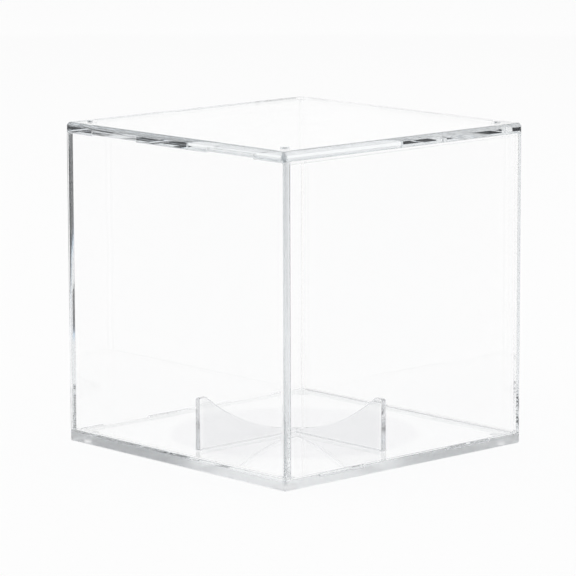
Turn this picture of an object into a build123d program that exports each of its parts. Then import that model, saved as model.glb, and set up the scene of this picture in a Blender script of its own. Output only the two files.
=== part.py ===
from build123d import *
import os
from math import sqrt

os.makedirs("parts", exist_ok=True)

# Ball display case: two clear U-shaped mouldings that interlock at a right angle.
# The tray is the floor with the front and back walls, the cover is the roof with the two side walls.
# Millimetres. The origin is the middle of the underside, +Z is up.
# -Y is the front wall, +X and -X are the side walls.

# Outside of the closed case
case_width = 80.0
case_depth = 80.0
case_height = 80.4

# Thickness of the mouldings
wall_thickness = 1.8
floor_thickness = 2.6
roof_thickness = 2.6

# Rounded edges
corner_radius = 1.2
rim_radius = 1.0
foot_radius = 0.4
cove_radius = 0.8

# Clearances between the two mouldings
seam_gap = 0.1
seat_gap = 0.05

# Tongues on top of the tray's walls, which enter notches in the edge of the roof
roof_tab_length = 16.6
roof_tab_height = 1.2
roof_tab_offset = 21.2

# Tongues under the cover's walls, which enter notches in the edge of the floor
floor_tab_length = 14.9
floor_tab_height = 0.6
floor_tab_offset = 21.2

# Stacking studs on the roof and the sockets for them under the floor
stud_diameter = 2.4
stud_height = 0.4
stud_inset = 4.8
socket_gap = 0.2

# Cradle: two fins in an L, cut to a saddle for the ball
fin_height = 12.9
fin_foot_thickness = 1.8
fin_top_thickness = 1.5
saddle_radius = 57.0
saddle_offset = 6.6
saddle_lowest = 0.6
fin_tip_flat = 2.4
fin_tip_radius = 0.5
groove_depth = 0.5
groove_gap = 0.05

# Places worked out from the sizes above
half_width = case_width / 2
half_depth = case_depth / 2
roof_underside = case_height - roof_thickness
tray_wall_top = roof_underside - seat_gap
cover_wall_foot = floor_thickness + seat_gap
cover_wall_reach = half_depth - wall_thickness - seam_gap
saddle_axis_height = saddle_lowest + saddle_radius
fin_middle_height = saddle_axis_height - sqrt(saddle_radius**2 - saddle_offset**2)
fin_flat_start = sqrt(saddle_radius**2 - (saddle_axis_height - fin_height) ** 2) - saddle_offset
fin_reach = fin_flat_start + fin_tip_flat
stud_places = [
    (sx * (half_width - stud_inset), sy * (half_depth - stud_inset)) for sx in (-1, 1) for sy in (-1, 1)
]


def block(x0, x1, y0, y1, z0, z1):
    """A box between two corners."""
    middle = Location(((x0 + x1) / 2, (y0 + y1) / 2, (z0 + z1) / 2))
    return middle * Box(x1 - x0, y1 - y0, z1 - z0)


def rounded_block(z0, z1):
    """The outline of the case, with its rounded upright edges, between two heights."""
    outline = RectangleRounded(case_width, case_depth, corner_radius)
    return extrude(Plane.XY.offset(z0) * outline, z1 - z0)


def cove(length):
    """A strip along X with a hollow quarter-round face, its square corner on the X axis.

    It fills the inside corner between a wall towards -Y and a floor below.
    """
    corner = Plane.YZ * make_face(
        Polyline((0, cove_radius), (0, 0), (cove_radius, 0))
        + RadiusArc((cove_radius, 0), (0, cove_radius), cove_radius)
    )
    return Pos(-length / 2, 0, 0) * extrude(corner, length)


def tongues_along_x(length, y0, y1, z0, z1, offset):
    """Two blocks of one length, at equal distances either side of the middle."""
    return [block(s * offset - length / 2, s * offset + length / 2, y0, y1, z0, z1) for s in (-1, 1)]


def tongues_along_y(length, x0, x1, z0, z1, offset):
    """The same along Y."""
    return [block(x0, x1, s * offset - length / 2, s * offset + length / 2, z0, z1) for s in (-1, 1)]


def fin_profile():
    """Side view of one fin: radius from the case's middle against height over the floor.

    The top edge is an arc whose axis lies a little behind the middle, and a short flat at the tip.
    """
    middle_top = (0, fin_middle_height)
    flat_end = (fin_flat_start, fin_height)
    foot = -groove_depth
    outline = Polyline(flat_end, (fin_reach, fin_height), (fin_reach, foot), (0, foot), middle_top)
    return make_face(outline + RadiusArc(middle_top, flat_end, -saddle_radius))


def fin():
    """One fin along +X, thinner at the top than at the foot, standing in its groove."""
    plate = Plane.XZ * fin_profile()
    plate = extrude(plate, fin_foot_thickness, both=True)
    tip = plate.edges().filter_by(Axis.Y).group_by(Axis.Z)[-1].sort_by(Axis.X)[-1]
    plate = fillet(tip, fin_tip_radius)
    foot_half = fin_foot_thickness / 2
    top_half = fin_top_thickness / 2
    wedge = Plane.YZ * make_face(
        Polyline(
            (-foot_half, -groove_depth),
            (foot_half, -groove_depth),
            (foot_half, 0),
            (top_half, fin_height),
            (-top_half, fin_height),
            (-foot_half, 0),
            close=True,
        )
    )
    return plate & (Pos(-fin_foot_thickness, 0, 0) * extrude(wedge, fin_reach + 2 * fin_foot_thickness))


def cradle():
    """Two fins that meet at the middle of the floor, one towards +X and one towards -Y."""
    first = fin()
    second = Rot(0, 0, -90) * fin()
    post_half = fin_foot_thickness / 2
    post = block(-post_half, post_half, -post_half, post_half, -groove_depth, fin_middle_height)
    return Pos(0, 0, floor_thickness) * (first + second + post)


def cradle_groove():
    """The L-shaped groove in the floor that the cradle's foot stands in."""
    half = fin_foot_thickness / 2 + groove_gap
    end = fin_reach + groove_gap
    low = floor_thickness - groove_depth
    along_x = block(-half, end, -half, half, low, floor_thickness + groove_depth)
    along_y = block(-half, half, -end, half, low, floor_thickness + groove_depth)
    return along_x + along_y


def tray():
    """Floor with the front and back walls."""
    body = rounded_block(0, tray_wall_top)
    channel_half = half_depth - wall_thickness
    body -= block(-case_width, case_width, -channel_half, channel_half, floor_thickness, case_height)
    body = fillet(body.edges().group_by(Axis.Z)[0], foot_radius)
    cove_length = 2 * (half_width - wall_thickness - seam_gap)
    front_cove = Pos(0, -channel_half, floor_thickness) * cove(cove_length)
    body += front_cove + Rot(0, 0, 180) * front_cove
    for outer, inner in ((-half_depth, -channel_half), (half_depth, channel_half)):
        y0, y1 = min(outer, inner), max(outer, inner)
        tab_top = tray_wall_top + roof_tab_height
        body += tongues_along_x(roof_tab_length, y0, y1, tray_wall_top, tab_top, roof_tab_offset)
    notch_length = floor_tab_length + 2 * seam_gap
    notch_depth = wall_thickness + seam_gap
    notch_low = floor_thickness - floor_tab_height
    for x0, x1 in ((-half_width, notch_depth - half_width), (half_width - notch_depth, half_width)):
        body -= tongues_along_y(notch_length, x0, x1, notch_low, floor_thickness, floor_tab_offset)
    socket_radius = stud_diameter / 2 + socket_gap
    socket_depth = stud_height + socket_gap
    for x, y in stud_places:
        body -= Pos(x, y, socket_depth / 2) * Cylinder(socket_radius, socket_depth)
    return body - cradle_groove()


def stud():
    """A low round stud, its top edge rounded over."""
    body = Pos(0, 0, case_height) * Cylinder(stud_diameter / 2, 2 * stud_height)
    return fillet(body.edges().group_by(Axis.Z)[-1], stud_height * 0.75)


def cover():
    """Roof with the two side walls, which stand between the tray's walls."""
    body = rounded_block(roof_underside, case_height)
    body = fillet(body.edges().group_by(Axis.Z)[-1], rim_radius)
    wall_inside = half_width - wall_thickness
    for x0, x1 in ((-half_width, -wall_inside), (wall_inside, half_width)):
        body += block(x0, x1, -cover_wall_reach, cover_wall_reach, cover_wall_foot, roof_underside)
        tab_low = cover_wall_foot - floor_tab_height
        body += tongues_along_y(floor_tab_length, x0, x1, tab_low, cover_wall_foot, floor_tab_offset)
    side_cove = Pos(0, -wall_inside, -roof_underside) * cove(2 * cover_wall_reach)
    side_cove = Rot(180, 0, 0) * side_cove
    side_cove = Rot(0, 0, 90) * side_cove
    body += side_cove + Rot(0, 0, 180) * side_cove
    notch_length = roof_tab_length + 2 * seam_gap
    notch_depth = wall_thickness + seam_gap
    notch_top = roof_underside + roof_tab_height
    for y0, y1 in ((-half_depth, notch_depth - half_depth), (half_depth - notch_depth, half_depth)):
        body -= tongues_along_x(notch_length, y0, y1, roof_underside, notch_top, roof_tab_offset)
    for x, y in stud_places:
        body += Pos(x, y, 0) * stud()
    return body


pieces = {"tray": tray(), "ball_cradle": cradle(), "cover": cover()}
for name, shape in pieces.items():
    export_step(shape, f"parts/{name}.step")
    print(name, len(shape.solids()), "solid", round(shape.volume, 1), "mm3")
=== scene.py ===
# %% [markdown]
# # A clear display case for a ball, seen in a white studio
#
# The real object is three pieces of clear moulded plastic. A tray is the floor with its front and back
# walls. A cover is the roof with its two side walls. Both are U shapes, turned a right angle to each
# other, and short tongues on the walls drop into notches in the other moulding. Inside stands a low
# L-shaped cradle, whose top is cut to a hollow saddle for the ball.
#
# Clear plastic has no colour to paint. All that the eye sees is where light bends: round edges, inside
# corners, joints and the long way through a sheet seen on edge. So the shapes have to be right down to
# a tenth of a millimetre, and the studio around them has to be one that glass is photographed in.

import math

import bmesh
import bpy
import numpy as np
from mathutils import Matrix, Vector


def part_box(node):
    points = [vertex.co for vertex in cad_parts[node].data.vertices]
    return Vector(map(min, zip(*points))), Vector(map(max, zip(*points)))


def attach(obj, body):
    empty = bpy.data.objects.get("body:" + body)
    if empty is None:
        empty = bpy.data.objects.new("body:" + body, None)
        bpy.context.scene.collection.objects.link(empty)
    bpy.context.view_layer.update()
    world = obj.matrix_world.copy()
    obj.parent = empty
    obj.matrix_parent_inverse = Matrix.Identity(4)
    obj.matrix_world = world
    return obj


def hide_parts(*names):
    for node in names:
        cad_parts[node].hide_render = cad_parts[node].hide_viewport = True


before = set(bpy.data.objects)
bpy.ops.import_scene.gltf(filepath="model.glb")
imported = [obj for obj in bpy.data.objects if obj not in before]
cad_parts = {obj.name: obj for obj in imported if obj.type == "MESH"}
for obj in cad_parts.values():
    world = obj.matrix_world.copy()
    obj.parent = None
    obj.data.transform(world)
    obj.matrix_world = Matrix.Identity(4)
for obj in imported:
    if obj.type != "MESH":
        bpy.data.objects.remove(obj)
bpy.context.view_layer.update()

# %% [markdown]
# ## Sizes
#
# The meshes are worked out in millimetres, the unit that a mould maker would use, and become metres as
# their last step. The outside sizes are read from the frame. What its boxes can't say, such as a wall's
# thickness or the radius of an edge, is a named value. A tongue and its notch share their length and
# place, so that one always fits the other.

# %% Sizes in millimetres
MM = 1000.0
_, tray_high = (np.array(corner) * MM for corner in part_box("tray"))
cover_low, cover_high = (np.array(corner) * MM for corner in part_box("cover"))
cradle_low, cradle_high = (np.array(corner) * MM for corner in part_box("ball_cradle"))

half_width = cover_high[0]
half_depth = tray_high[1]
wall = 1.8
inner_half_width = half_width - wall
inner_half_depth = half_depth - wall
floor_top = 2.6
roof_thickness = 2.6
stud_height = 0.4
roof_top = cover_high[2] - stud_height
roof_underside = roof_top - roof_thickness
print("case", *(round(size, 3) for size in (2 * half_width, 2 * half_depth, roof_top)), "mm")

# %% Edges, gaps and tongues in millimetres
corner_radius = 1.2
rim_radius = 1.0
foot_radius = 0.4
cove_radius = 0.8
edge_break = 0.12

seam_gap = 0.1
seat_gap = 0.05
socket_gap = 0.2
groove_gap = 0.05

# A tongue is its length and how far its middle lies from the middle of the wall.
roof_tongue = (16.6, 21.2)
roof_tongue_top = tray_high[2]
roof_notch_top = 79.0
tray_wall_top = roof_underside - seat_gap

floor_tongue = (14.9, 21.2)
floor_tongue_low = cover_low[2]
floor_notch_low = 2.0
cover_wall_foot = floor_top + seat_gap

# Cutting tools reach past the material: by the overcut, or up and down to these two heights.
overcut = 1.0
beyond_x = half_width + overcut
beyond_y = half_depth + overcut
above_case = 90.0
below_case = -5.0
print("tongues", roof_tongue[0], "and", floor_tongue[0], "mm long, seam", seam_gap, "mm")

# %% [markdown]
# ## Solids made of rings
#
# Every solid here is a stack of rings of points. A ring is a cross-section, and the stack carries it
# along a path: upwards for the block that a moulding starts from, or along a wall for the channel that
# is cut out of it. Quads join each ring to the next, and a flat face closes each end. The rings are
# numpy arrays, so a whole solid is a few sums.

# %% Rings to a closed mesh
SAME_POINT = 1e-5


def solid(name, rings):
    """A closed object from rings of points, an array of shape (rings, points in a ring, 3).

    Point j of ring i is corner i * points + j. The quad beside it goes to j + 1, to i + 1 and back.
    """
    rings = np.asarray(rings, float)
    count, around = rings.shape[:2]
    grid = np.arange(count * around).reshape(count, around)
    ahead = np.roll(grid, -1, axis=1)
    quads = np.stack([grid[:-1], ahead[:-1], ahead[1:], grid[1:]], axis=-1).reshape(-1, 4)
    faces = quads.tolist() + [grid[0, ::-1].tolist(), grid[-1].tolist()]
    mesh = bpy.data.meshes.new(name)
    mesh.from_pydata(rings.reshape(-1, 3).tolist(), [], faces)
    clean = bmesh.new()
    clean.from_mesh(mesh)
    bmesh.ops.remove_doubles(clean, verts=clean.verts, dist=SAME_POINT)
    bmesh.ops.dissolve_degenerate(clean, edges=clean.edges, dist=SAME_POINT)
    bmesh.ops.recalc_face_normals(clean, faces=clean.faces)
    clean.to_mesh(mesh)
    clean.free()
    piece = bpy.data.objects.new(name, mesh)
    bpy.context.scene.collection.objects.link(piece)
    return piece


# %% [markdown]
# The outlines are straight lines and quarter circles. A quarter circle is a row of angles put through
# sine and cosine, so a corner can be as smooth as the light needs: each facet of a round edge would
# bend its own little picture of the studio.

# %% Outlines and simple blocks
def quarter(steps=12):
    """Angles from 0 to a quarter turn."""
    return np.linspace(0.0, math.pi / 2, steps + 1)


def rounded_outline(inset=0.0, steps=14):
    """The case's outline seen from above, moved inwards by inset.

    Each corner is the centre of its arc plus (radius - inset) * (cos t, sin t).
    """
    t = np.concatenate([quarter(steps) + turn * math.pi / 2 for turn in range(4)])
    sign_x = np.repeat([1, -1, -1, 1], steps + 1)
    sign_y = np.repeat([1, 1, -1, -1], steps + 1)
    reach = corner_radius - inset
    x = sign_x * (half_width - corner_radius) + reach * np.cos(t)
    y = sign_y * (half_depth - corner_radius) + reach * np.sin(t)
    return np.column_stack([x, y])


def rounded_over(radius, top, steps=12):
    """Pairs of inset and height round a top edge: radius * (1 - cos t) and top - radius * (1 - sin t)."""
    return [(radius * (1 - math.cos(t)), top - radius * (1 - math.sin(t))) for t in quarter(steps)]


def at_height(outline, z):
    """A ring: the (x, y) points of an outline, lifted to height z."""
    outline = np.asarray(outline, float)
    return np.column_stack([outline, np.full(len(outline), z)])


def box(name, x, y, z):
    """A block between pairs of limits, for cutting."""
    outline = [(x[0], y[0]), (x[1], y[0]), (x[1], y[1]), (x[0], y[1])]
    return solid(name, [at_height(outline, z[0]), at_height(outline, z[1])])


def disc(name, centre, levels, points=48):
    """A round solid about an upright axis: levels are pairs of radius and height."""
    t = np.linspace(0.0, 2 * math.pi, points, endpoint=False)
    circle = np.column_stack([np.cos(t), np.sin(t)])
    return solid(name, [at_height(np.array(centre) + radius * circle, z) for radius, z in levels])


print("outline of the case:", len(rounded_outline()), "points")

# %% [markdown]
# ## Cutting
#
# A moulding is a block with its rounded edges, less a channel, less its notches and sockets. It could be
# drawn face by face, but cutting with booleans keeps it one watertight solid, and glass must be that: a
# face left inside would bend the light once more. Cutting leaves slivers on the flat faces, which are
# merged again, so that only real edges remain for the next step.

# %% Cut and clean
CUT_POINT = 1e-4
FLAT_ANGLE = math.radians(0.05)


def bake(piece):
    """Makes the modifiers' result the piece's own mesh."""
    rough = piece.data
    graph = bpy.context.evaluated_depsgraph_get()
    piece.data = bpy.data.meshes.new_from_object(
        piece.evaluated_get(graph), preserve_all_data_layers=True, depsgraph=graph
    )
    piece.modifiers.clear()
    bpy.data.meshes.remove(rough)


def carve(piece, tools, operation="DIFFERENCE"):
    """Cuts each tool out of the piece, or joins it on, and deletes the tools."""
    for tool in tools:
        step = piece.modifiers.new("carve", "BOOLEAN")
        step.operation = operation
        step.object = tool
        step.solver = "EXACT"
    bake(piece)
    for tool in tools:
        bpy.data.meshes.remove(tool.data)
    print(piece.name, operation.lower(), "of", len(tools), "tools")
    return piece


def merge_flats(piece):
    """Merges the slivers that cutting leaves on flat faces."""
    clean = bmesh.new()
    clean.from_mesh(piece.data)
    bmesh.ops.remove_doubles(clean, verts=clean.verts, dist=CUT_POINT)
    bmesh.ops.dissolve_limit(
        clean, angle_limit=FLAT_ANGLE, verts=clean.verts, edges=clean.edges, delimit=set()
    )
    clean.to_mesh(piece.data)
    clean.free()
    return piece


# %% [markdown]
# ## Finishing the edges
#
# Every edge that is still sharp gets a tiny break, because no moulded edge is a knife edge, and that
# break is what catches a bright line along a real one. A bevel weight says which edges: where a cove
# runs out to nothing, there is no room for a break, and a bevel would throw a spike there.
#
# Glass shows every error of a normal as a bent picture. So the normals are weighted by the area of the
# faces, and on each large flat face all of them are set to that face's own: only round edges bend.

# %% Mark edges and flatten normals
SHARP_ANGLE = math.radians(40)
LARGE_FACE = 15.0


def mark_edges(piece, keeps_corner):
    """Gives each sharp edge a bevel weight of 1, unless keeps_corner is true at both of its ends."""
    marked = bmesh.new()
    marked.from_mesh(piece.data)
    weight = marked.edges.layers.float.new("bevel_weight_edge")
    for edge in marked.edges:
        if edge.calc_face_angle(0.0) > SHARP_ANGLE and not all(keeps_corner(v.co) for v in edge.verts):
            edge[weight] = 1.0
    marked.to_mesh(piece.data)
    marked.free()


def flatten_normals(mesh):
    """Gives every corner of a face larger than LARGE_FACE square millimetres that face's own normal."""
    normals = np.array([corner.vector for corner in mesh.corner_normals])
    for face in mesh.polygons:
        if face.area > LARGE_FACE:
            normals[list(face.loop_indices)] = face.normal
    mesh.normals_split_custom_set(normals.tolist())


# %% Break the edges, set the normals, turn to metres
CREASE_ANGLE = math.radians(50)


def report(piece):
    """Prints a piece's faces, volume and open edges, which should be none."""
    check = bmesh.new()
    check.from_mesh(piece.data)
    loose = sum(not edge.is_manifold for edge in check.edges)
    volume = check.calc_volume() * MM**3
    print(piece.name, len(check.faces), "faces,", round(volume, 1), "mm3,", loose, "open edges")
    check.free()


def finish_edges(piece, keeps_corner=lambda point: False):
    """Rounds what is still sharp, sets the normals and scales millimetres to metres."""
    mark_edges(piece, keeps_corner)
    rounding = piece.modifiers.new("edge break", "BEVEL")
    rounding.width = edge_break
    rounding.segments = 2
    rounding.limit_method = "WEIGHT"
    rounding.use_clamp_overlap = False
    rounding.miter_outer = "MITER_ARC"
    bake(piece)
    piece.data.shade_smooth()
    piece.data.set_sharp_from_angle(angle=CREASE_ANGLE)
    weights = piece.modifiers.new("weights", "WEIGHTED_NORMAL")
    weights.weight = 100
    weights.keep_sharp = True
    bake(piece)
    flatten_normals(piece.data)
    piece.data.name = piece.name
    piece.data.transform(Matrix.Scale(1 / MM, 4))
    report(piece)


# %% [markdown]
# ## Tools that both mouldings share
#
# The channel between two walls has a small cove along each inside corner, where the mould's edge is
# rounded. The coves stop short of the ends, to leave room for the other moulding's walls, so the tool
# that cuts the channel changes its section there. It is one section carried along a straight path, with
# two rings in the same place where the section changes.
#
# The tongues are what is left of a wall's end when the stretches beside and between them are cut away.
# A notch is as long as its tongue and a seam gap more at each end.

# %% Channels, tongues and notches
def channel_section(half, level, far_level, radius):
    """A section of a channel's tool: a rectangle from level to far_level, with its level corners coved.

    A coved corner is its arc's centre plus radius * (sin t, -cos t), or plus radius * (sin t, cos t) in
    a channel that opens downwards. A radius of 0 puts all points of the arc in the sharp corner, so
    that every section has the same number of points.
    """
    t = quarter(10)
    inwards = math.copysign(radius, far_level - level)
    across = half - radius + radius * np.sin(t)
    height = level + inwards - inwards * np.cos(t)
    corner = np.column_stack([across, height])
    far_side = [[half, far_level], [-half, far_level]]
    return np.vstack([corner, far_side, (corner * [-1, 1])[::-1]])


def channel_rings(axis, far, reach, outer, coved):
    """The tool's rings along an axis, 0 for X or 1 for Y: coved up to reach, outer from there to far."""
    places = (-far, -reach, -reach, reach, reach, far)
    sections = (outer, outer, coved, coved, outer, outer)
    return np.array([np.insert(ring, axis, place, axis=1) for place, ring in zip(places, sections)])


def spans_between(tongue, far):
    """The three stretches beside and between a wall's two tongues."""
    length, offset = tongue
    near, end = offset - length / 2, offset + length / 2
    return [(-far, -end), (-near, near), (end, far)]


def notches(name, tongue, axis, depth, z):
    """Tools for the four notches of the tongues on two walls along an axis, 0 for X or 1 for Y.

    depth is the notch's inner end and a place beyond the case, both measured from the middle.
    """
    length, offset = tongue
    tools = []
    for side in (-1, 1):
        for middle in (-offset, offset):
            along = (middle - length / 2 - seam_gap, middle + length / 2 + seam_gap)
            across = sorted(side * end for end in depth)
            x, y = (along, across) if axis == 0 else (across, along)
            tools.append(box(name, x, y, z))
    return tools


# %% [markdown]
# ## The tray
#
# The floor with the front and back walls is one moulding, so no joint shows at the foot of the case's
# upright corners: the walls are as wide as the case and their round corners run down into the floor. It
# starts as a solid block as high as its tongues. The cuts that reach its outside are the channel, the
# ends of its walls and the notches for the cover. Under the floor there is a shallow socket in each
# corner, for the studs of a case that this one is stacked on, and on the floor an L-shaped groove for
# the cradle's foot.

# %% Block and cutting tools of the tray
foot = [(foot_radius * (1 - math.sin(t)), foot_radius * (1 - math.cos(t))) for t in quarter()]
block_rings = [at_height(rounded_outline(inset), z) for inset, z in foot]
block_rings.append(at_height(rounded_outline(), roof_tongue_top))
tray = solid("tray_moulding", block_rings)

cove_end = inner_half_width - seam_gap
sharp = channel_section(inner_half_depth, floor_top, above_case, 0.0)
coved = channel_section(inner_half_depth, floor_top, above_case, cove_radius)
cutters = [solid("channel", channel_rings(0, beyond_x, cove_end, sharp, coved))]
for span in spans_between(roof_tongue, beyond_x):
    cutters.append(box("between_tongues", span, (-beyond_y, beyond_y), (tray_wall_top, above_case)))
notch_z = (floor_notch_low, floor_top + overcut)
cutters += notches("floor_notch", floor_tongue, 1, (cove_end, beyond_x), notch_z)
print("tray's outside:", len(cutters), "tools")

# %% Sockets and groove
stud_radius = 1.2
stud_inset = 4.8
stud_x = half_width - stud_inset
stud_y = half_depth - stud_inset
stud_places = [(sign_x * stud_x, sign_y * stud_y) for sign_x in (-1, 1) for sign_y in (-1, 1)]
socket_radius = stud_radius + socket_gap
for place in stud_places:
    levels = [(socket_radius, -overcut), (socket_radius, stud_height + socket_gap)]
    cutters.append(disc("socket", place, levels))

fin_foot_half = 0.9
fin_reach = cradle_high[0]
groove_half = fin_foot_half + groove_gap
groove_end = fin_reach + groove_gap
ell = [
    (-groove_half, groove_half),
    (-groove_half, -groove_end),
    (groove_half, -groove_end),
    (groove_half, -groove_half),
    (groove_end, -groove_half),
    (groove_end, groove_half),
]
groove_low = cradle_low[2]
cutters.append(solid("groove", [at_height(ell, groove_low), at_height(ell, floor_top + overcut)]))
depths = (stud_height + socket_gap, floor_top - groove_low)
print("sockets and groove are", *(round(depth, 3) for depth in depths), "mm deep")

# %% Tray
CLOSE = 0.01


def at_tray_cove_end(point):
    """True in the plane where the tray's coves stop, and no farther from the corner than a cove is."""
    in_plane = abs(abs(point.x) - cove_end) < CLOSE
    beside_wall = abs(point.y) > inner_half_depth - cove_radius - CLOSE
    near_floor = point.z < floor_top + cove_radius + CLOSE
    return in_plane and beside_wall and near_floor


finish_edges(merge_flats(carve(tray, cutters)), at_tray_cove_end)

# %% [markdown]
# ## The cover
#
# The roof with the two side walls. Its outside is the same rounded block, with a full round along the
# top rim. The tool that clears its inside is the same channel, turned upside down and a quarter turn,
# and beyond the side walls it is as wide as the case, because there the tray's walls stand. On the roof
# there is a low round stud in each corner, joined on after the cuts.

# %% Block and cutting tools of the cover
block_rings = [at_height(rounded_outline(), floor_tongue_low)]
block_rings += [at_height(rounded_outline(inset), z) for inset, z in rounded_over(rim_radius, roof_top)]
cover = solid("cover_moulding", block_rings)

side_wall_end = inner_half_depth - seam_gap
wide = channel_section(beyond_x, roof_underside, below_case, 0.0)
coved = channel_section(inner_half_width, roof_underside, below_case, cove_radius)
cutters = [solid("inside", channel_rings(1, beyond_y, side_wall_end, wide, coved))]
for span in spans_between(floor_tongue, beyond_y):
    cutters.append(box("between_tongues", (-beyond_x, beyond_x), span, (0.0, cover_wall_foot)))
notch_z = (roof_underside - overcut, roof_notch_top)
cutters += notches("roof_notch", roof_tongue, 0, (side_wall_end, beyond_y), notch_z)
carve(cover, cutters)

# %% Studs and cover
stud_round = 0.75 * stud_height
stud_root = roof_top - 0.5
dome = [(stud_radius - inset, z) for inset, z in rounded_over(stud_round, roof_top + stud_height)]
studs = [disc("stud", place, [(stud_radius, stud_root)] + dome) for place in stud_places]


def at_cover_cove_end(point):
    """The same for the cover, whose coves stop at the ends of its side walls."""
    in_plane = abs(abs(point.y) - side_wall_end) < CLOSE
    beside_wall = abs(point.x) > inner_half_width - cove_radius - CLOSE
    near_roof = point.z > roof_underside - cove_radius - CLOSE
    return in_plane and beside_wall and near_roof


finish_edges(merge_flats(carve(cover, studs, "UNION")), at_cover_cove_end)

# %% [markdown]
# ## The ball cradle
#
# Two thin fins meet in an L at the middle of the floor. Seen from above the piece is one strip that
# turns a corner, so it is made as one section carried along that path. The section is a thin upright
# wedge, a little thicker at the foot than at the top so that it leaves its mould. The height of its top
# follows the saddle: an arc of 57 mm radius, whose axis lies a little behind the middle of the case.

# %% Saddle
fin_top_half = 0.75
fin_height = cradle_high[2] - floor_top
saddle_radius = 57.0
saddle_offset = 6.6
saddle_lowest = 0.6


def saddle_height(r):
    """Height of the fin's top over the floor at distance r from the middle.

    lowest + R - sqrt(R^2 - (r + offset)^2), cut off at the fin's height.
    """
    arc = saddle_lowest + saddle_radius - np.sqrt(saddle_radius**2 - (r + saddle_offset) ** 2)
    return np.minimum(arc, fin_height)


print("fins", round(saddle_height(0.0), 2), "mm high in the middle,", round(fin_height, 2), "at the tips")

# %% Stations along a fin
tip_radius = 0.5
first_station = 1.3
saddle_steps = 60
flat_step = 0.1


def fin_stations():
    """Distances from the middle, the top's height at each and how far the section has drawn in.

    Along the saddle the steps are even. At the tip the top's edge is rounded by tip * (1 - cos t), and
    over the last tenth of a millimetre the sides draw in too.
    """
    above_lowest = saddle_lowest + saddle_radius - fin_height
    flat_start = math.sqrt(saddle_radius**2 - above_lowest**2) - saddle_offset
    along = np.linspace(first_station, flat_start, saddle_steps)
    along = np.append(along, flat_start + flat_step)
    t = quarter(8)
    tip_at = fin_reach - tip_radius * (1 - np.sin(t))
    tip_top = fin_height - tip_radius * (1 - np.cos(t))
    r = np.concatenate([along, tip_at])
    top = np.concatenate([saddle_height(along), tip_top])
    inset = np.clip(edge_break - (fin_reach - r), 0.0, None)
    draw = edge_break - np.sqrt(np.clip(edge_break**2 - inset**2, 0.0, None))
    return r, top, draw


print("stations along a fin:", len(fin_stations()[0]))

# %% Section and cradle
under_foot = 0.02
top_round = 1.6 * edge_break
mitre_at = 0.6


def section(top, draw):
    """Half widths and heights around one section, from the foot on one side over the top to the other.

    half(z) = foot half - (foot half - top half) * z / height, with both top edges rounded.
    """
    foot_z = cradle_low[2] - floor_top + under_foot
    edge_half = fin_foot_half - (fin_foot_half - fin_top_half) * top / fin_height
    side = [(fin_foot_half, foot_z), (fin_foot_half, 0.0)]
    side += [(edge_half - inset, z) for inset, z in rounded_over(top_round, top, 3)]
    side = np.array(side) - [draw, 0.0]
    return np.vstack([side, (side * [-1, 1])[::-1]])


def cradle_rings():
    """Rings along the L: in from the tip on the -Y side, round the mitre, out to the tip on the +X side.

    A half width w at distance r lies at (w, -r) on the first fin, at (w, -w) on the mitre and at
    (r, -w) on the second.
    """
    first, second = [], []
    for at, height, inwards in zip(*fin_stations()):
        w, z = section(height, inwards).T
        first.append(np.column_stack([w, np.full(len(w), -at), z]))
        second.append(np.column_stack([np.full(len(w), at), -w, z]))
    w, z = section(saddle_height(mitre_at), 0.0).T
    mitre = np.column_stack([w, -w, z])
    return np.array(first[::-1] + [mitre] + second) + [0.0, 0.0, floor_top]


cradle = solid("cradle_fins", cradle_rings())
finish_edges(cradle)

# %% [markdown]
# ## Shader sums
#
# A shader is a graph of nodes. Written as a graph it is long and hard to read, so a socket is wrapped in
# a small class: adding, taking away or multiplying two of them adds the Math node that does it. Every
# other node comes from one method of the graph, which takes its type, its settings and its sockets.

# %% Graph
class Graph:
    """A node tree that is being filled."""

    def __init__(self, tree):
        self.tree = tree
        tree.nodes.clear()

    def add(self, kind, settings=None, inputs=None):
        """Adds a node: its settings first, then the values or links of its sockets. Returns the node."""
        node = self.tree.nodes.new(kind)
        for name, value in (settings or {}).items():
            if name == "stops":
                ramp = node.color_ramp
                while len(ramp.elements) < len(value):
                    ramp.elements.new(0.5)
                for element, (position, colour) in zip(ramp.elements, value):
                    element.position = position
                    element.color = colour
            else:
                setattr(node, name, value)
        sockets = [s for s in node.inputs if s.enabled]
        for name, value in (inputs or {}).items():
            if isinstance(name, str):
                name = [s.name for s in sockets].index(name)
            if isinstance(value, Signal):
                self.tree.links.new(value.socket, sockets[name])
            elif isinstance(value, bpy.types.NodeSocket):
                self.tree.links.new(value, sockets[name])
            else:
                sockets[name].default_value = value
        return node

    def signal(self, kind, output=0, settings=None, inputs=None):
        """The same, but returns one output as a Signal."""
        return Signal(self, self.add(kind, settings, inputs).outputs[output])

    def mix(self, factor, first, second):
        """A colour between two, each of them a signal or three numbers."""
        first, second = (c if isinstance(c, Signal) else (*c, 1.0) for c in (first, second))
        inputs = {"Factor": factor, "A": first, "B": second}
        return self.signal("ShaderNodeMix", 2, {"data_type": "RGBA"}, inputs)


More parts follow.
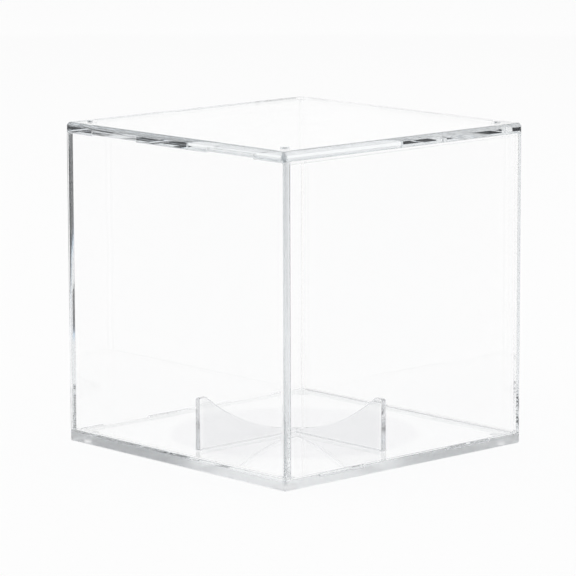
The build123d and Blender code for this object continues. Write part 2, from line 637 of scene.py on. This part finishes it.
# %% Signal
class Signal:
    """A number that changes over the surface."""

    def __init__(self, graph, socket):
        self.graph = graph
        self.socket = socket

    def math(self, operation, *values):
        """A Math node on this signal and more values."""
        inputs = dict(enumerate([self, *values]))
        return self.graph.signal("ShaderNodeMath", 0, {"operation": operation}, inputs)

    def __add__(self, other):
        return self.math("ADD", other)

    __radd__ = __add__

    def __mul__(self, other):
        return self.math("MULTIPLY", other)

    __rmul__ = __mul__

    def __sub__(self, other):
        return self.math("SUBTRACT", other)

    def __rsub__(self, other):
        return (self * -1.0) + other

    def __rpow__(self, base):
        return self.graph.signal("ShaderNodeMath", 0, {"operation": "POWER"}, {0: base, 1: self})

    def smooth(self, low, high):
        """0 below low, 1 above high, and a soft step between."""
        settings = {"interpolation_type": "SMOOTHSTEP"}
        inputs = {"Value": self, "From Min": low, "From Max": high}
        return self.graph.signal("ShaderNodeMapRange", 0, settings, inputs)


# %% [markdown]
# ## Places with their own finish, painted shade and painted highlights
#
# The tray is polished, but a mould is finished more coarsely where nobody looks through the piece. Here
# these are the floor slab's outer faces, the sockets and the groove, and they are satin. The sockets are
# also painted grey, as painted shade in the recesses. In the middle of the floor lies a soft grey disc,
# 63 mm across, which is a painted shadow.
#
# The cradle is hazy, and its grey is painted shade, standing in for the shade seen through the fins. Its
# foot, where it meets the floor, and a strip beside each tip stay clear and are painted lighter, as
# painted highlights that show as thin bright lines.
#
# Each place is a signal of 0 and 1 with a soft step between, worked out from the object's coordinates.

# %% Limits of the places
SATIN = 0.32
# Painted shade: the grey of the disc on the floor, a painted shadow, and of the sockets, painted shade in
# the recesses.
PAINTED_SHADE_GREY = (0.93, 0.927, 0.937)
# Painted highlight: the lighter colour of the cradle's foot line and tip strips.
PAINTED_HIGHLIGHT_LINE = (0.99, 0.99, 0.99)
TIP_SHARE = 0.7

# Soft limits of the places: the two millimetres between which a coordinate or a distance steps.
OUTER_FACE = (39.2, 39.8)
SLAB_EDGE = (2.3, 2.7)
SOCKET_WALL = (1.5, 1.7)
SOCKET_ROOF = (0.8, 1.2)
DISC_EDGE = (29.0, 31.5)
FLOOR_FACE = (2.9, 3.1)
GROOVE_WALL = (1.0, 1.1)
GROOVE_BED = (1.8, 1.9)
GROOVE_RIM = (2.50, 2.58)
TIP_START = (29.6, 30.0)


def above(signal, limits):
    """0 below the first of two limits in millimetres, 1 above the second."""
    low, high = limits
    return signal.smooth(low / MM, high / MM)


def below(signal, limits):
    """1 below the first of two limits in millimetres, 0 above the second."""
    return 1.0 - above(signal, limits)


print("grey disc", 2 * DISC_EDGE[1], "mm across, satin roughness", SATIN)


# %% Satin places, painted shade and painted highlights
def axes(graph, place):
    """The three coordinates of a place, in metres."""
    return (graph.signal("ShaderNodeSeparateXYZ", axis, {}, {0: place}) for axis in range(3))


def tray_places(graph, place, rough, colour):
    """The tray's roughness and colour with its satin places, the painted shade in its sockets and its
    painted shadow disc.
    """
    x, y, z = axes(graph, place)
    side_x, side_y = x.math("ABSOLUTE"), y.math("ABSOLUTE")
    rim = above(side_x.math("MAXIMUM", side_y), OUTER_FACE) * below(z, SLAB_EDGE)

    from_x, from_y = side_x - stud_x / MM, side_y - stud_y / MM
    from_socket = (from_x * from_x + from_y * from_y).math("SQRT")
    socket = below(from_socket, SOCKET_WALL) * below(z, SOCKET_ROOF)

    from_middle = (x * x + y * y).math("SQRT")
    in_disc = below(from_middle, DISC_EDGE)
    painted_shadow_disc = in_disc * below(z, FLOOR_FACE)

    under_fins = below(side_x.math("MINIMUM", side_y), GROOVE_WALL) * in_disc
    groove = under_fins * above(z, GROOVE_BED) * below(z, GROOVE_RIM)

    satin = rim.math("MAXIMUM", socket).math("MAXIMUM", groove)
    # The grey disc on the floor is a painted shadow, and the grey in the sockets is painted shade in the
    # recesses.
    grey = painted_shadow_disc.math("MAXIMUM", socket)
    return rough + satin * SATIN, graph.mix(grey, colour, PAINTED_SHADE_GREY)


def cradle_places(graph, place, rough, colour):
    """The cradle's roughness and colour with its clear foot and tips, which are painted lighter as
    highlight lines.
    """
    x, y, z = axes(graph, place)
    foot_line = below(z, FLOOR_FACE)
    tip_strip = above(x.math("MAXIMUM", y * -1.0), TIP_START) * TIP_SHARE
    # The foot line and tip strips are painted lighter: painted highlights along the fins.
    clear = foot_line.math("MAXIMUM", tip_strip)
    return rough * (1.0 - clear), graph.mix(clear, colour, PAINTED_HIGHLIGHT_LINE)


# %% [markdown]
# ## Clear plastic
#
# Moulded acrylic bends light a little less than window glass does, with an index of 1.49. It has a very
# faint cool tint, which shows only where light travels a long way through it, so the tint is in its
# volume. Its faces are polished, but not perfect: the melt leaves a broad waviness, and handling leaves
# a fine grain and patches of slight haze, which are worked out here from noise on the object's own
# coordinates.
#
# Rays from lamps and the soft bounces from the floor go straight through, less a few percent. Without
# that the case would throw the black shadow of a solid box.

# %% Numbers of the plastic
ACRYLIC_INDEX = 1.49

# A noise is its scale per metre and its detail.
WAVES = (55.0, 1.0)
GRAIN = (900.0, 3.0)
SMEAR = (38.0, 4.0)
SMEAR_EDGE = (0.45, 0.75)
GRAIN_HEIGHT = 0.02
GRAIN_HAZE = 0.3
BUMP = {"Strength": 0.05, "Distance": 0.0002}
FAINT_SHADE = 0.994
SHADOW_TINT = (0.994, 0.995, 0.996, 1.0)
DEPTH_DENSITY = 1.4
print("index", ACRYLIC_INDEX, "and waves about", round(MM / WAVES[0]), "mm long")


# %% Clear plastic
def clear_plastic(name, tint, haze, depth_tint, places=None):
    """A clear plastic: the colour that a face lets through, its haze and the colour of its depth.

    places, where it is given, takes the roughness and the colour and returns them with their places.
    """
    material = bpy.data.materials.new(name)
    material.use_nodes = True
    graph = Graph(material.node_tree)
    place = graph.signal("ShaderNodeTexCoord", "Object")
    waves, grain, smear = (
        graph.signal("ShaderNodeTexNoise", 0, {}, {"Vector": place, "Scale": scale, "Detail": detail})
        for scale, detail in (WAVES, GRAIN, SMEAR)
    )
    rough = smear.smooth(*SMEAR_EDGE) * haze + grain * (GRAIN_HAZE * haze)
    faint = smear * 0.5 + grain * 0.5
    colour = graph.mix(faint, tint, tuple(FAINT_SHADE * c for c in tint))
    if places is not None:
        rough, colour = places(graph, place, rough, colour)
    bump_inputs = {**BUMP, "Height": waves + grain * GRAIN_HEIGHT}
    body = graph.add(
        "ShaderNodeBsdfPrincipled",
        {},
        {
            "Base Color": colour,
            "Roughness": rough,
            "IOR": ACRYLIC_INDEX,
            "Transmission Weight": 1.0,
            "Normal": graph.signal("ShaderNodeBump", 0, {}, bump_inputs),
        },
    )
    through = graph.add("ShaderNodeBsdfTransparent", {}, {"Color": SHADOW_TINT})
    rays = graph.add("ShaderNodeLightPath")
    for kind in ("Is Diffuse Ray", "Is Shadow Ray"):
        inputs = {0: rays.outputs[kind], 1: body.outputs[0], 2: through.outputs[0]}
        body = graph.add("ShaderNodeMixShader", {}, inputs)
    depth_inputs = {"Color": (*depth_tint, 1.0), "Density": DEPTH_DENSITY}
    depth = graph.add("ShaderNodeVolumeAbsorption", {}, depth_inputs)
    graph.add("ShaderNodeOutputMaterial", {}, {"Surface": body.outputs[0], "Volume": depth.outputs[0]})
    print(name, len(material.node_tree.nodes), "nodes")
    return material


# %% [markdown]
# Each piece takes the place of one solid of the CAD model, rides on that solid's body, so that the cover
# lifts off with its joint, and has a material of its own.

# %% Dress the pieces
CLEAR = (0.999, 0.999, 0.999)
CLEAR_DEPTH = (0.62, 0.74, 0.80)
CLEAR_HAZE = 0.01
# Painted shade: the cradle's grey colour and its darker depth colour stand in for the shade seen through
# its fins.
FIN_PAINTED_SHADE = (0.925, 0.928, 0.932)
FIN_PAINTED_SHADE_DEPTH = (0.5, 0.6, 0.66)
GREYISH_HAZE = 0.17


def dress(piece, material, body, node):
    """Gives a piece its material and ties it to the frame."""
    piece.data.materials.clear()
    piece.data.materials.append(material)
    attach(piece, body)
    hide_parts(node)
    print(piece.name, "takes the place of", node, "on", body)


tray_plastic = clear_plastic("tray_plastic", CLEAR, CLEAR_HAZE, CLEAR_DEPTH, tray_places)
cover_plastic = clear_plastic("cover_plastic", CLEAR, CLEAR_HAZE, CLEAR_DEPTH)
cradle_plastic = clear_plastic("cradle_plastic", FIN_PAINTED_SHADE, GREYISH_HAZE, FIN_PAINTED_SHADE_DEPTH, cradle_places)
dress(tray, tray_plastic, "tray_body", "tray")
dress(cover, cover_plastic, "cover_body", "cover")
dress(cradle, cradle_plastic, "tray_body", "ball_cradle")

# %% [markdown]
# ## Where the photograph was taken from
#
# From a little above, and so far to the right of the front that two walls are seen nearly alike. The
# angles were fitted to the corners and edges of the case in the photograph. They come before the studio,
# because it is built to the left and right of that line of sight.

# %% Angle of the photograph
azimuth = math.radians(47.374)
elevation = math.radians(9.711)
roll = math.radians(-0.1773)
RIGHT = (math.cos(azimuth), math.sin(azimuth), 0.0)
print("right of the photograph:", [round(c, 3) for c in RIGHT])

# %% [markdown]
# ## Lamp
#
# White all round gives hardly any shadow, and a sunlamp gives a hard one. A soft lamp as large as a
# ceiling gives the faint shadow under the case. It hides from rays that bounce off the plastic or pass
# through it, so that its outline shows in none of the faces.
#
# It takes over a share of the light that the floor gets from the white world, and the world gives the
# floor that much less. A square lamp that hangs half as high as it is wide fills 0.554 of the view of
# the floor below it, each direction counted by how steeply its light falls, so the lamp is as bright as
# the share divided by 0.554. A square lamp's power is pi times its area times that brightness.

# %% Lamp
LAMP_SHARE = 0.3
SEEN_SHARE = 0.554
lamp_side = 5.0
lamp_height = 2.5
lamp_data = bpy.data.lights.new("overhead", "AREA")
lamp_data.size = lamp_side
lamp_data.energy = LAMP_SHARE / SEEN_SHARE * math.pi * lamp_side**2
lamp = bpy.data.objects.new("overhead", lamp_data)
lamp.location = (0.0, 0.0, lamp_height)
lamp.visible_glossy = False
lamp.visible_transmission = False
bpy.context.scene.collection.objects.link(lamp)
print("lamp", round(lamp_data.energy, 1), "W")

# %% [markdown]
# ## Dark boards
#
# Clear things on white are photographed with dark boards at their left and right, just out of sight.
# They don't show through the flat walls, because a straight look through the case ends on white. They
# show where light is caught in a sheet, runs along inside it and leaves by an edge, and there they draw
# the dark streaks that tell the eye where an edge is.
#
# Boards could be objects, but a clear box would show them in every wall seen at a slant. Here they are
# dark places in the colour of the world and of the floor, which only a ray sees that has bounced inside
# the plastic more than twice. In the world they stand at both sides, from the horizon up. On the floor
# there is one at the right only, because one at the left would darken the bright front edge.
#
# Every bounce inside the plastic also takes a trace of the light.

# %% What a ray from inside the plastic sees
BOUNCE_LOSS = 0.9993
INSIDE = 2.5

# How a board's dark edge fades into the white around it: stops from just outside it to its middle.
BOARD = [
    (0.35, (0.66, 0.80, 0.95, 1.0)),
    (0.6, (0.10, 0.13, 0.17, 1.0)),
    (1.0, (0.012, 0.014, 0.018, 1.0)),
]


def board_colour(graph, board, inside, white):
    """The colour of a surface that is white, and dark like a board for rays from inside the plastic."""
    stops = [(0.0, (white, white, white, 1.0))] + BOARD
    return graph.signal("ShaderNodeValToRGB", 0, {"stops": stops}, {"Fac": board * inside})


def ray_signals(graph):
    """Whether a ray has bounced inside the plastic more than twice, and the light that is left in it."""
    bounces = graph.signal("ShaderNodeLightPath", "Glossy Depth")
    return bounces.math("GREATER_THAN", INSIDE), BOUNCE_LOSS**bounces


def rightwards(graph, place):
    """How far a place or a direction reaches to the right of the photograph, as a dot product."""
    return graph.signal("ShaderNodeVectorMath", 1, {"operation": "DOT_PRODUCT"}, {0: place, 1: RIGHT})


# %% World
BOARD_SIDE = (0.62, 0.84)
HORIZON = (0.0, 0.04)
world = bpy.data.worlds.new("studio")
bpy.context.scene.world = world
world.use_nodes = True
graph = Graph(world.node_tree)
direction = graph.signal("ShaderNodeTexCoord", "Generated")
inside, light_left = ray_signals(graph)
upwards = graph.signal("ShaderNodeSeparateXYZ", 2, {}, {0: direction})
board = rightwards(graph, direction).math("ABSOLUTE").smooth(*BOARD_SIDE) * upwards.smooth(*HORIZON)
soft = graph.signal("ShaderNodeLightPath", "Is Diffuse Ray")
level = light_left * (1.0 - soft * LAMP_SHARE)
sky_inputs = {"Color": board_colour(graph, board, inside, 1.0), "Strength": level}
sky = graph.add("ShaderNodeBackground", {}, sky_inputs)
graph.add("ShaderNodeOutputWorld", {}, {"Surface": sky.outputs[0]})
print("world", len(world.node_tree.nodes), "nodes")

# %% [markdown]
# ## Floor
#
# A sheet of white paper, wide enough to fill the picture. It lies a tenth of a millimetre below the case,
# so that the two never share a plane. The board on it is a painted dark patch in the paper's colour, a
# painted reflection seen only by rays from inside the plastic. It starts 7 cm to the right of the middle,
# past the case's foot, and is fully dark from 12 cm on.

# %% Floor
PAPER_WHITE = 0.975
PAINTED_FLOOR_BOARD = (0.07, 0.12)
span = 6.0
under = -0.0001
corners = [(x * span, y * span, under) for x, y in ((-1, -1), (1, -1), (1, 1), (-1, 1))]
floor_mesh = bpy.data.meshes.new("studio_floor")
floor_mesh.from_pydata(corners, [], [(0, 1, 2, 3)])
studio_floor = bpy.data.objects.new("studio_floor", floor_mesh)
bpy.context.scene.collection.objects.link(studio_floor)

paper = bpy.data.materials.new("studio_paper")
paper.use_nodes = True
graph = Graph(paper.node_tree)
place = graph.signal("ShaderNodeTexCoord", "Object")
inside, light_left = ray_signals(graph)
# The board on the floor is a painted dark patch in the paper's colour, a painted reflection for rays from
# inside the plastic.
board = rightwards(graph, place).smooth(*PAINTED_FLOOR_BOARD)
colour = board_colour(graph, board, inside, PAPER_WHITE)
paper_inputs = {"Color": graph.mix(light_left, (0.0, 0.0, 0.0), colour)}
white = graph.add("ShaderNodeBsdfDiffuse", {}, paper_inputs)
graph.add("ShaderNodeOutputMaterial", {}, {"Surface": white.outputs[0]})
floor_mesh.materials.append(paper)
print("floor", 2 * span, "m wide, white", PAPER_WHITE)

# %% [markdown]
# ## Camera
#
# A long lens from about 90 cm, so that the upright edges hardly run together. The camera's own axes
# follow from the two angles: right is level, back points from the case to the camera, and up is at right
# angles to both. The roll turns right and up about the line of sight. The place is where the photograph
# is centred on the case, then a distance back from there.

# %% Camera
aim_right = -0.0016
aim_up = 0.03835
distance = 0.88703
right = np.array(RIGHT)
back = np.array([
    math.sin(azimuth) * math.cos(elevation),
    -math.cos(azimuth) * math.cos(elevation),
    math.sin(elevation),
])
up = np.cross(back, right)
camera_x = math.cos(roll) * right + math.sin(roll) * up
camera_y = math.cos(roll) * up - math.sin(roll) * right
camera_at = aim_right * camera_x + aim_up * camera_y + distance * back

lens = bpy.data.cameras.new("camera")
lens.lens = 221.5
lens.sensor_width = 36.0
lens.clip_start = 0.01
camera = bpy.data.objects.new("camera", lens)
bpy.context.scene.collection.objects.link(camera)
camera_frame = np.eye(4)
camera_frame[:3] = np.column_stack([camera_x, camera_y, back, camera_at])
camera.matrix_world = Matrix(camera_frame)
bpy.context.scene.camera = camera
print("camera at", [round(float(c), 3) for c in camera_at], "m")

# %% [markdown]
# ## How far a ray is followed
#
# Light that is caught in a sheet goes on from face to face. A ray that is given up on the way is black,
# and would paint the edges black, so the limits are far above the usual ones. The colours are shown
# plainly, as they are written.

# %% Limits and view
MANY_BOUNCES = 160
scene = bpy.context.scene
scene.view_settings.view_transform = "Standard"
scene.cycles.max_bounces = MANY_BOUNCES
scene.cycles.transmission_bounces = MANY_BOUNCES
scene.cycles.glossy_bounces = MANY_BOUNCES
scene.cycles.transparent_max_bounces = 32
print("rays are followed for", MANY_BOUNCES, "bounces")
